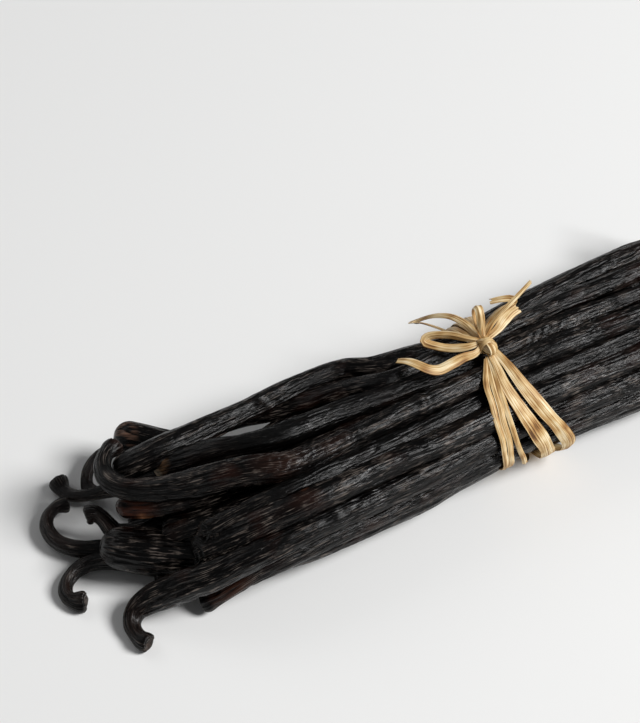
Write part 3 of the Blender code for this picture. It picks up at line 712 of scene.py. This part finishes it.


# %% [markdown]
# ### Painted colours and painted shade
#
# The ends keep traces of the vine: a pale scar where a stalk was cut, a reddish thin stalk, a golden tip
# where the skin dried out. Three pods that lie deep between their neighbours get long near-black strokes of
# painted shade. All of it is painted on the points near a given place and fades with distance. The shader
# mixes that paint over the skin colour, by the strength in its alpha.

# %% Paint and painted shade on the pods
# painted shade: the near-black of the strokes on pods that lie deep between their neighbours
SHADE_BLACK = "#020202"
TINTS_AND_SHADE = {  # a place, how far the stroke reaches, its colour and its strength
    "back_blunt": (((-85.0, 33.2, 15.6), 5.0, "#92705f", 0.95), ((-83.0, 33.0, 16.0), 2.2, "#241815", 0.6)),
    "front_top": (((-85.5, 29.0, 19.5), 5.0, "#33211b", 0.8), ((-60.0, -1.0, 30.0), 9.0, "#3a2117", 0.28),
        ((-47.0, -4.0, 30.5), 6.0, "#3a2117", 0.22)),
    # the last two strokes of top are painted shade
    "top": (((-83.2, 16.6, 17.6), 2.3, "#f0d8b2", 0.95), ((-82.0, 17.2, 20.0), 3.0, "#6e5136", 0.8),
        ((-66.0, 9.6, 24.0), 26.0, SHADE_BLACK, 0.75), ((-44.0, 6.8, 24.8), 34.0, SHADE_BLACK, 0.85)),
    "inner_brown": (((-91.0, 8.6, 15.0), 1.9, "#cf8f66", 0.95), ((-91.5, 12.4, 17.0), 7.5, "#522a1a", 0.8)),
    "inner_dark": (((-90.0, 3.2, 11.6), 2.6, "#33261f", 0.6),),
    "front_blunt": (((-58.2, -11.2, 24.0), 2.6, "#8a4e2e", 0.75),
        ((-52.6, -10.6, 24.6), 1.6, "#6b3c26", 0.6)),
    # the last three strokes of front_deep are painted shade
    "front_deep": (((-82.6, -3.9, 18.4), 3.0, "#3a2c25", 0.5), ((-58.0, -8.0, 24.0), 26.0, SHADE_BLACK, 0.85),
        ((-34.0, -8.0, 24.0), 34.0, SHADE_BLACK, 0.8), ((14.0, -8.0, 24.0), 26.0, SHADE_BLACK, 0.7)),
    "fat_end": (((-100.0, 9.0, 11.6), 2.4, "#3a2f29", 0.35),),
    "front_hook": (((-102.8, -16.0, 2.1), 2.2, "#4a3a30", 0.7), ((-104.0, -10.0, 2.5), 7.0, "#261b17", 0.5)),
    "front_low": (((-86.5, -11.5, 2.3), 2.0, "#3d312b", 0.7), ((-80.0, -16.0, 7.0), 7.0, "#3d2113", 0.7)),
    "short_hook": (((-110.0, 2.3, 2.3), 2.0, "#4d3f37", 0.7), ((-112.0, 8.0, 2.4), 8.0, "#261c18", 0.5)),
    "wide_hook": (((-101.4, 29.4, 3.4), 2.2, "#4c3d34", 0.7), ((-109.0, 22.0, 3.2), 10.0, "#241a17", 0.5)),
    "inner_small_hook": (((-100.5, 38.4, 2.3), 2.2, "#4a3c34", 0.7),
        ((-99.0, 31.0, 3.2), 7.0, "#241a17", 0.5)),
    "inner_stub": (((-101.4, 20.5, 9.4), 2.2, "#51433a", 0.7), ((-98.0, 18.0, 9.8), 5.0, "#2a201b", 0.5)),
    # the second stroke of under_back_top is painted shade
    "under_back_top": (((-94.0, 33.0, 4.0), 9.0, "#241a17", 0.5), ((-70.0, 27.6, 10.4), 24.0, SHADE_BLACK, 0.6)),
}
STALK_FACE = ("#4d3c31", 0.8, 1.6)  # colour, strength and reach of a curled stalk's torn face
FADE = 1.4  # a stroke is at full strength as far as (1 - 1 / FADE) of its reach


def tints_and_shade_at(name, place, distance, pod, total):
    """RGBA of the paint at each point, strokes of painted shade included."""
    colour = np.zeros((len(place), 4))
    strokes = [(np.linalg.norm(place - spot, axis=1), *how) for spot, *how in TINTS_AND_SHADE.get(name, ())]
    tone, strength, reach = STALK_FACE
    if pod.curl:
        strokes.append((total - distance, reach, tone, strength))
    for away, reach, tone, strength in reversed(strokes):
        cover = strength * np.clip(FADE - FADE * away / reach, 0.0, 1.0)
        kept = colour[:, 3] * (1 - cover)
        alpha = np.maximum(kept + cover, 1e-6)
        mixed = colour[:, :3] * kept[:, None] + np.array(linear(tone)[:3]) * cover[:, None]
        colour[:, :3] = mixed / alpha[:, None]
        colour[:, 3] = kept + cover
    return colour


# %% [markdown]
# ### Shaping a pod
#
# Now the parts meet. Each point of the blank knows its ring and its share of the way round, so its place
# follows from the line, the width, the section and the relief. The width also swells and shrinks a little
# along the pod, as the seeds inside lie unevenly. Three attributes are kept for the shader: the point's place
# on the pod when it is straight, so that patterns run along the pod however it curls, how deep in a crease it
# lies, which sets the painted shade there, and its paint, which holds colours of the vine and strokes of
# painted shade.

# %% Make the pods
SWELL, SWELL_LENGTH = 0.24, 11.0  # how much the width varies, as a share, and over what length
PRESSED = 0.4  # share of the relief that the tie presses out
LOWEST = 0.02  # just above the surface
STRAIGHT_RADIUS = 3.2  # of the straight pod that the patterns are laid on
NEXT_POD = 400.0  # how far apart the straight pods lie, so that no two look alike
TORN, TORN_REACH, TORN_TEETH = 0.5, 0.7, 13  # height, reach and number of teeth of a torn rim


def set_attribute(mesh, name, kind, values):
    data = mesh.attributes.new(name, kind, "POINT").data
    slot_name = {"FLOAT": "value", "FLOAT_VECTOR": "vector", "FLOAT_COLOR": "color"}[kind]
    data.foreach_set(slot_name, np.asarray(values, np.float32).ravel())


def shape_pod(index, pod, blank):
    """A copy of the blank tube, shaped as the pod."""
    source, ring, around = blank
    rng = np.random.default_rng(SEED + index)
    points = pod_points(pod)
    route = smooth_route(points)
    line = line_through(points, outward_at(route[len(route) // 2]))
    total = line.length[-1]
    ring_distance, ring_width = pod_rings(pod, total, ring.max() + 1)
    distance, width = ring_distance[ring], ring_width[ring]
    centre, side, outward = (values[ring] for values in line.at(ring_distance))
    centre_x = centre[:, 0]
    width = width * (1.0 - PACKED * np.clip((centre_x - PACKED_FROM) / PACKED_OVER, 0.0, 1.0))
    fullness = np.clip(width / pod.width, 0.0, 1.0)
    along = distance / total
    relief, crease_shade = wrinkle_relief(rng, around, along, total, pod.width)
    relief = relief * fullness**0.8 * (1.0 - PRESSED * np.exp(-((centre_x / TIE_REACH) ** 2)))
    relief += mark_relief(pod.name, rng, around, centre_x)
    thickness = width * (1.0 - (1.0 - FLATNESS) * fullness)
    lumps = lattice_noise(rng, np.zeros_like(along), along, 1, int(total / SWELL_LENGTH))
    swell = 1.0 + SWELL * (lumps - 0.5)
    angle = 2 * math.pi * around
    radius_x, radius_y = 0.5 * width * swell, 0.5 * thickness * swell
    normal_x, normal_y = np.cos(angle) * radius_y, np.sin(angle) * radius_x
    size = np.maximum(np.hypot(normal_x, normal_y), 1e-6)
    relief = relief * np.clip(radius_y, 0.0, 1.0)
    across = np.cos(angle) * radius_x + relief * normal_x / size
    out = np.sin(angle) * radius_y + relief * normal_y / size
    torn = torn_rim(rng, around, distance, total, pod)
    place = centre + side * across[:, None] + outward * out[:, None]
    place += np.cross(side, outward) * torn[:, None]
    place[:, 2] = np.maximum(place[:, 2], LOWEST)
    mesh = source.copy()
    mesh.vertices.foreach_set("co", placed(place).astype(np.float32).ravel())
    straight = [STRAIGHT_RADIUS * np.cos(angle), STRAIGHT_RADIUS * np.sin(angle), distance + NEXT_POD * index]
    set_attribute(mesh, "straight", "FLOAT_VECTOR", np.stack(straight, 1))
    # painted shade of the creases, for the shader
    set_attribute(mesh, "crease_shade", "FLOAT", crease_shade)
    set_attribute(mesh, "tint_and_shade", "FLOAT_COLOR", tints_and_shade_at(pod.name, place, distance, pod, total))
    return link("pod_" + pod.name, mesh)


def torn_rim(rng, around, distance, total, pod):
    """Millimetres by which a stalk end's rim is pushed along the pod, so that it looks torn."""
    rag = lattice_noise(rng, around, np.zeros_like(around), TORN_TEETH, 1) - 0.5
    shift = np.zeros_like(around)
    if pod.stalk:
        shift += TORN * rag * np.exp(-distance / TORN_REACH)
    if pod.curl:
        shift += TORN * rag * np.exp(-(total - distance) / TORN_REACH)
    return shift


pods = []
for index, pod in enumerate(PODS):
    obj = shape_pod(index, pod, outer_blank if pod.ring == 1.0 else inner_blank)
    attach(obj, "root")
    pods.append(obj)
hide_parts("pod_bundle")
print(sum(len(o.data.polygons) for o in pods) * 2, "triangles in", len(pods), "pods")

# %% [markdown]
# ### The core
#
# Between the pods of the outer ring there are only more pods, packed too closely to see. A
# smaller dark core fills what is left of the middle, so that no light leaks through the gaps.

# %% Core
CORE_FROM, CORE_TO = -60.0, 50.0
CORE_SHARE = 0.62  # of the ring
CORE_ROUNDING = 5.0

bm = bmesh.new()
turn_to_x = Matrix.Rotation(math.radians(90.0), 3, "Y")
bmesh.ops.create_cone(bm, cap_ends=True, segments=32, radius1=1.0, radius2=1.0, depth=CORE_TO - CORE_FROM)
bmesh.ops.rotate(bm, verts=bm.verts, matrix=turn_to_x)
bmesh.ops.scale(bm, verts=bm.verts, vec=(1.0, RING_Y * CORE_SHARE, RING_Z * CORE_SHARE))
rims = [e for e in bm.edges if abs(e.verts[0].co.x - e.verts[1].co.x) < 0.1]
bmesh.ops.bevel(bm, geom=rims, offset=CORE_ROUNDING, segments=4, profile=0.5, affect="EDGES", material=-1)
bmesh.ops.translate(bm, verts=bm.verts, vec=Vector(((CORE_FROM + CORE_TO) / 2, CENTRE_Y, CENTRE_Z)) + SHIFT)
bmesh.ops.scale(bm, verts=bm.verts, vec=(MM, MM, MM))
core = link("bundle_core", finish_mesh(bm, "bundle_core"))
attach(core, "root")

# %% [markdown]
# ### Pod skin
#
# Curing turns the skin nearly black, with reddish flushes where it is thin, and sweats oil to the surface. So
# the colour is very dark, with short grey streaks on the finest ridges, which are painted highlights that
# stand in for their gloss, and near-black painted shade in the creases. A soft gloss does the rest, broken up
# by a bump of the same streaks. The noise reads the straight pod's place in millimetres, squeezed along the
# pod, so that every streak follows the skin round the hooks.

# %% Material: cured vanilla pod, dried and oiled skin
STREAK_MM = 0.28  # width of the finest streaks
STREAK_LENGTH = 13.0  # times their width
STREAK_SHARE, BLOTCH_SHARE = 0.72, 0.36  # of the tone that picks the colour
BLOTCH_MM = 4.0  # size of the darker and lighter blotches
FLUSH_MM = 11.0  # size of the reddish flushes

pod_skin, tree, shader = new_material(
    "cured vanilla pod skin", Roughness=0.24, IOR=1.45, Specular_IOR_Level=0.27
)
straight = add(tree, "ShaderNodeAttribute", attribute_name="straight").outputs["Vector"]
crease_shade = add(tree, "ShaderNodeAttribute", attribute_name="crease_shade").outputs["Fac"]
tint_and_shade = add(tree, "ShaderNodeAttribute", attribute_name="tint_and_shade").outputs
squeezed = {"Vector": straight, "Scale": (1.0, 1.0, 1.0 / STREAK_LENGTH)}
stretched = add(tree, "ShaderNodeMapping", squeezed).outputs[0]
noises = []
for where, size, detail, roughness in (
    (stretched, STREAK_MM, 3.0, 0.55),
    (straight, BLOTCH_MM, 3.0, 0.6),
    (straight, FLUSH_MM, 2.0, 0.5),
):
    inputs = {"Vector": where, "Scale": 1 / size, "Detail": detail, "Roughness": roughness}
    noises.append(add(tree, "ShaderNodeTexNoise", inputs).outputs["Fac"])
streaks, blotches, flush = noises
tone = 0.0
for noise, share in ((streaks, STREAK_SHARE), (blotches, BLOTCH_SHARE)):
    tone = add(tree, "ShaderNodeMath", {0: noise, 1: share, 2: tone}, operation="MULTIPLY_ADD").outputs[0]
# The two darkest stops are the skin's own colour; the two lightest are painted highlights, grey streaks that
# stand in for the gloss on the finest ridges.
skin_and_highlight_tones = ((0.46, "#010101"), (0.56, "#040303"), (0.61, "#2a2522"), (0.70, "#6b625b"))
colour = add(tree, "ShaderNodeValToRGB", {"Fac": tone}, skin_and_highlight_tones).outputs["Color"]
flushed = {"Value": flush, "From Min": 0.56, "From Max": 0.72, "To Max": 0.6}
flush_mask = add(tree, "ShaderNodeMapRange", flushed, clamp=True).outputs[0]
for share, over in (
    (flush_mask, linear("#241009")),
    (tint_and_shade["Alpha"], tint_and_shade["Color"]),
    # painted shade: the creases and furrows are darkened nearly to black
    (crease_shade, linear("#020101")),
):
    colour = add(tree, "ShaderNodeMix", {0: share, 6: colour, 7: over}, data_type="RGBA").outputs[2]
tree.links.new(colour, shader.inputs["Base Color"])
bump = {"Height": streaks, "Strength": 0.8, "Distance": 0.0002}
tree.links.new(add(tree, "ShaderNodeBump", bump).outputs[0], shader.inputs["Normal"])
for obj in [*pods, core]:
    obj.data.materials.append(pod_skin)

# %% [markdown]
# ## The raffia
#
# Raffia is a strip peeled from a palm leaf: 1 to 5 mm wide, thin as paper, straw coloured, with
# fine ribs along it. It curls and folds lengthwise, splits easily, and bends like stiff paper.
# Each strip starts as a flat grid with ribs, a fold and slightly wavy edges, is carried along
# its line like a pod's rings, and only then gets its thickness.

# %% A strip of raffia
STRIP_THICKNESS = 0.16
RIB, RIB_SPACING, RIB_LENGTH = 0.12, 0.35, 12.0
WAVE, WAVE_LENGTH = 0.16, 5.0  # how much the width varies, as a share, and over what length
ROW = 0.6  # length of the grid's rows
RAGGED_REACH = 1.5  # how far from its end a strip is ragged
SHARP = math.radians(38.0)  # a bend over this angle stays a sharp edge
NEXT_STRIP = 90.0  # how far apart the flat strips lie, so that no two look alike


@dataclass
class Strip:
    """How a strip is shaped. Lengths are millimetres.

    fold: height of the lengthwise fold at fold_at, a share of the width.
    ends: share of the full width at the start and at the end, reached over taper.
    twist: how far it turns from start to end, in degrees.
    ragged: how far the fibres at its ends stick out past each other.
    """

    width: float
    fold: float = 0.2
    fold_at: float = 0.5
    ends: tuple = (1.0, 1.0)
    taper: float = 6.0
    twist: float = 0.0
    ragged: float = 0.5


def make_strip(name, index, line, strip, across=10):
    """A mesh object for one strip along a line."""
    rng = np.random.default_rng(SEED + 100 + index)
    total = line.length[-1]
    bm = bmesh.new()
    bmesh.ops.create_grid(bm, x_segments=across, y_segments=max(12, int(total / ROW)), size=0.5)
    u = np.array([vert.co.x + 0.5 for vert in bm.verts])
    v = np.array([vert.co.y + 0.5 for vert in bm.verts])
    wave = lattice_noise(rng, np.zeros_like(u), v, 1, max(2, int(total / WAVE_LENGTH))) - 0.5
    width = strip.width * (1.0 + WAVE * wave)
    start, end = strip.ends
    width *= start + (1 - start) * np.clip(v * total / strip.taper, 0, 1)
    width *= end + (1 - end) * np.clip((1 - v) * total / strip.taper, 0, 1)
    rib_count = int(max(5, strip.width / RIB_SPACING))
    ribs = lattice_noise(rng, u * 0.8, v, rib_count, max(2, int(total / RIB_LENGTH)))
    ridge = 1.0 - np.abs(u - strip.fold_at) / max(strip.fold_at, 1 - strip.fold_at)
    lift = RIB * (ribs - 0.5) + strip.fold * (ridge - 0.5)
    rag = strip.ragged * (lattice_noise(rng, u * 0.9, np.zeros_like(u), 7, 1) - 0.5)
    near_end = np.exp(-v * total / RAGGED_REACH) + np.exp(-(1 - v) * total / RAGGED_REACH)
    centre, side, outward = line.at(np.clip(v * total + rag * near_end, 0, total))
    turned = np.radians(strip.twist) * (v - 0.5)
    sideways = (u - 0.5) * width
    out = lift * np.minimum(width / strip.width, 1.0)
    x = sideways * np.cos(turned) - out * np.sin(turned)
    y = sideways * np.sin(turned) + out * np.cos(turned)
    place = placed(centre + side * x[:, None] + outward * y[:, None])
    for vert, where in zip(bm.verts, place):
        vert.co = where
    straight = bm.verts.layers.float_vector.new("straight")
    for vert, a, b in zip(bm.verts, (u - 0.5) * strip.width, v * total):
        vert[straight] = (a, 0.0, b + NEXT_STRIP * index)
    bmesh.ops.solidify(bm, geom=bm.faces[:], thickness=STRIP_THICKNESS * MM)
    bmesh.ops.remove_doubles(bm, verts=bm.verts, dist=1e-7)
    bmesh.ops.recalc_face_normals(bm, faces=bm.faces)
    for face in bm.faces:
        face.smooth = True
    mesh = finish_mesh(bm, name)
    mesh.set_sharp_from_angle(angle=SHARP)
    obj = link(name, mesh)
    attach(obj, "root")
    return obj


# %% [markdown]
# ### The strands round the bundle
#
# The strands start under the knot, fan out over the front, pass below the bundle and come back
# up to the knot from behind. A strand bridges from pod to pod, so it follows the ring at a
# small height above it, except low at the front, where three of them hang a little loose.

# %% Strands
STRAND_HEIGHT = 0.8  # above the pods
STRAND_LAYER = 0.16  # each strand lies this much above the one before it
LOOSE_AT, LOOSE_REACH = 212.0, 22.0  # the angle round the ring where a strand hangs loose
STRAND_STEP = 18.0  # degrees between the points of a strand's line

STRANDS = (  # (x, angle) places, the strip, and how far it hangs loose
    (((-2.6, 92), (-6.6, 113), (-8.4, 140), (-8.6, 173), (-7.0, 205), (-5.4, 240), (-4.0, 290),
      (-3.0, 350), (-2.6, 50), (-2.4, 86)),
     Strip(1.5, fold=0.25, ends=(0.6, 0.6)), 0.0),
    (((-2.0, 91), (-5.2, 117), (-6.9, 144), (-6.9, 177), (-5.4, 207), (-3.4, 240), (-2.0, 290),
      (-1.2, 350), (-1.6, 50), (-1.8, 87)),
     Strip(1.6, fold=0.2, ends=(0.6, 0.6)), 0.0),
    (((-1.6, 92), (-4.3, 123), (-5.2, 148), (-4.5, 173), (-1.6, 203), (2.0, 225), (3.0, 290),
      (2.2, 350), (0.0, 50), (-1.2, 85)),
     Strip(1.4, fold=0.35, ends=(0.6, 0.6)), 1.0),
    (((-1.0, 90), (-2.4, 118), (-1.6, 140), (0.2, 160), (3.0, 184), (5.2, 208), (6.2, 240),
      (5.2, 290), (3.8, 350), (0.6, 50), (-0.6, 86)),
     Strip(3.9, fold=0.3, fold_at=0.35, ends=(0.35, 0.35), taper=20.0), 1.2),
    (((0.2, 84), (0.8, 105), (1.6, 125), (4.0, 150), (7.2, 172), (9.8, 193), (9.9, 210),
      (8.2, 236), (7.6, 290), (5.6, 350), (1.6, 50), (0.0, 82)),
     Strip(3.5, fold=0.45, fold_at=0.6, ends=(0.5, 0.5), taper=16.0), 1.0),
)


def strand_point(x, angle, layer, loose):
    """A place on the middle of a strand."""
    place = Vector((x, *on_ring(angle, x)))
    slack = loose * math.exp(-(((angle % 360.0) - LOOSE_AT) / LOOSE_REACH) ** 2)
    above = POD_WIDTH * (1.0 - PACKED) * FLATNESS / 2 + STRAND_HEIGHT + layer + slack
    return place + outward_at(place) * above


def strand_line(places, layer, loose):
    """The Line of a strand through its (x, angle) places."""
    points = []
    for (x0, a0), (x1, a1) in zip(places, places[1:]):
        turned = (a1 - a0) % 360.0
        steps = max(1, round(turned / STRAND_STEP))
        for step in range(steps):
            share = step / steps
            points.append(strand_point(x0 + (x1 - x0) * share, a0 + turned * share, layer, loose))
    points.append(strand_point(*places[-1], layer, loose))
    return line_through(points, outward_at)


raffia_pieces = []
for index, (places, strip, loose) in enumerate(STRANDS):
    line = strand_line(places, STRAND_LAYER * index, loose)
    raffia_pieces.append(make_strip(f"raffia_strand_{index + 1}", index, line, strip))
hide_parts("raffia_tie")

# %% [markdown]
# ### Loops and tails of the bow
#
# The bow is half undone: one loop lies to the left, one hangs down at the back and a folded one
# stands up. Two tails reach right, one rolled up tight and one flat, one frays at the back, and
# one runs left and turns over itself.

# %% Loops and tails
RIBBON_STRIPS = {
    "raffia_loop_left": Strip(2.0, fold=0.35, ends=(0.5, 0.5)),
    "raffia_loop_back": Strip(2.0, fold=0.25, ends=(0.5, 0.5)),
    "raffia_loop_up": Strip(2.2, fold=0.4, ends=(0.6, 0.6), taper=4.0),
    "raffia_tail_rolled": Strip(1.1, fold=0.5, ends=(0.9, 0.8), ragged=0.8),
    "raffia_tail_flared": Strip(2.6, fold=0.4, fold_at=0.35, ends=(0.35, 1.1), taper=9.0, ragged=1.2),
    "raffia_tail_frayed": Strip(2.0, fold=0.3, ends=(0.6, 0.8), ragged=2.2),
    "raffia_tail_twisted": Strip(2.5, fold=0.5, fold_at=0.4, ends=(0.4, 1.1), taper=9.0, twist=60.0,
                                 ragged=0.9),
}

KNOT_ROOT = (-1.5, 2.4, 32.7)  # where the loops and tails leave the knot

for index, (name, strip) in enumerate(RIBBON_STRIPS.items()):
    points, facing = RIBBONS[name]
    points = [KNOT_ROOT, *points]
    if "loop" in name:
        points.append(KNOT_ROOT)
    line = line_through(points, facing, 0.6)
    obj = make_strip(name.replace("raffia_", "raffia_strip_"), 20 + index, line, strip)
    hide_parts(name)
    raffia_pieces.append(obj)

# %% [markdown]
# ### The knot
#
# The knot is a lump of folded strips pulled tight, with strips wrapped over it at different
# angles. The lump is a sphere, drawn out and creased; the wraps are strips on short closed
# lines that hug it.

# %% Knot
KNOT_CENTRE = Vector((-1.3, 1.3, 32.1))
KNOT_HALF = Vector((1.4, 2.5, 1.6))
PLEATS, PLEAT_DEPTH = 11, 0.22  # round the lump, and their depth as a share of its size
LOOP_FROM, LOOP_TURN = -110.0, 380.0  # a wrap goes a little more than once round
LOOP_SHIFT = 0.12  # from its start to its end, so that it doesn't run into itself
WRAPS = (  # half length, half height and angle of the loop, and the width of its strip
    (2.9, 1.9, 4.0, 1.7),
    (2.5, 1.95, 42.0, 1.5),
    (1.9, 2.1, 82.0, 1.9),
)


def knot_loop(half, tilt, count=14):
    """Points of a loop round the knot, turned about Z from the knot's length."""
    points = []
    turned = Matrix.Rotation(math.radians(tilt), 3, "Z")
    for step in range(count + 1):
        angle = math.radians(LOOP_FROM + LOOP_TURN * step / count)
        flat = Vector((0.0, half[0] * math.cos(angle), half[1] * math.sin(angle)))
        points.append(KNOT_CENTRE + turned @ flat + Vector((LOOP_SHIFT * step / count, 0.0, 0.0)))
    return points


def away_from_knot(point):
    return (Vector(point) - KNOT_CENTRE).normalized()


bm = bmesh.new()
bmesh.ops.create_icosphere(bm, subdivisions=5, radius=1.0)
rng = np.random.default_rng(SEED)
unit = np.array([v.co for v in bm.verts])
turns = (np.arctan2(unit[:, 0], unit[:, 2]) / (2 * math.pi)) % 1.0
pleats = lattice_noise(rng, turns, (unit[:, 1] + 1) / 2, PLEATS, 3)
for vert, where, pleat in zip(bm.verts, unit, pleats):
    size = 1.0 + PLEAT_DEPTH * (pleat - 0.5)
    vert.co = Vector([c * h * size for c, h in zip(where, KNOT_HALF)]) + KNOT_CENTRE + SHIFT
    vert.co *= MM
straight = bm.verts.layers.float_vector.new("straight")
for vert, turn_share, where in zip(bm.verts, turns, unit):
    vert[straight] = (9.0 * turn_share, 0.0, 3.0 * where[1])
for face in bm.faces:
    face.smooth = True
knot = link("raffia_knot", finish_mesh(bm, "raffia_knot"))
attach(knot, "root")
raffia_pieces.append(knot)

for index, (half_length, half_height, tilt, width) in enumerate(WRAPS):
    line = line_through(knot_loop((half_length, half_height), tilt), away_from_knot, 0.4)
    raffia_pieces.append(make_strip(f"raffia_wrap_{index + 1}", 40 + index, line, Strip(width, fold=0.35)))
print(len(raffia_pieces), "pieces of raffia")

# %% [markdown]
# ### Raffia colour
#
# A dried leaf strip is golden tan, paler on its ribs and browner between them, with a faint
# shine along the fibre. The ribs are drawn across the strip from its own flat coordinates, so
# they follow it round every bend.

# %% Material: dried raffia palm leaf, peeled and split
FIBRE_MM = 0.32  # width of a fibre, drawn a little coarser than real ones so that they show
FIBRE_SQUEEZE = 0.03  # along the strip, so that a fibre is about 30 times as long as it is wide
PATCH_MM = 5.0  # size of the paler and browner patches
FIBRE_SHARE, PATCH_SHARE = 0.7, 0.35  # of the tone that picks the colour

raffia, tree, shader = new_material("dried raffia leaf", Roughness=0.55, IOR=1.45)
straight = add(tree, "ShaderNodeAttribute", attribute_name="straight").outputs["Vector"]
squeezed = {"Vector": straight, "Scale": (1.0, 1.0, FIBRE_SQUEEZE)}
stretched = add(tree, "ShaderNodeMapping", squeezed).outputs[0]
fine = {"Vector": stretched, "Scale": 1 / FIBRE_MM, "Detail": 3.0, "Roughness": 0.6}
fibres = add(tree, "ShaderNodeTexNoise", fine).outputs["Fac"]
broad = {"Vector": straight, "Scale": 1 / PATCH_MM, "Detail": 1.0}
patches = add(tree, "ShaderNodeTexNoise", broad).outputs["Fac"]
tone = 0.0
for noise, share in ((fibres, FIBRE_SHARE), (patches, PATCH_SHARE)):
    tone = add(tree, "ShaderNodeMath", {0: noise, 1: share, 2: tone}, operation="MULTIPLY_ADD").outputs[0]
leaf_tones = ((0.39, "#5c3b18"), (0.46, "#a3763e"), (0.54, "#ccac76"), (0.66, "#f3e2bd"))
leaf_colour = add(tree, "ShaderNodeValToRGB", {"Fac": tone}, leaf_tones).outputs["Color"]
tree.links.new(leaf_colour, shader.inputs["Base Color"])
bump = {"Height": fibres, "Strength": 0.5, "Distance": 0.00015}
tree.links.new(add(tree, "ShaderNodeBump", bump).outputs[0], shader.inputs["Normal"])
for obj in raffia_pieces:
    obj.data.materials.append(raffia)
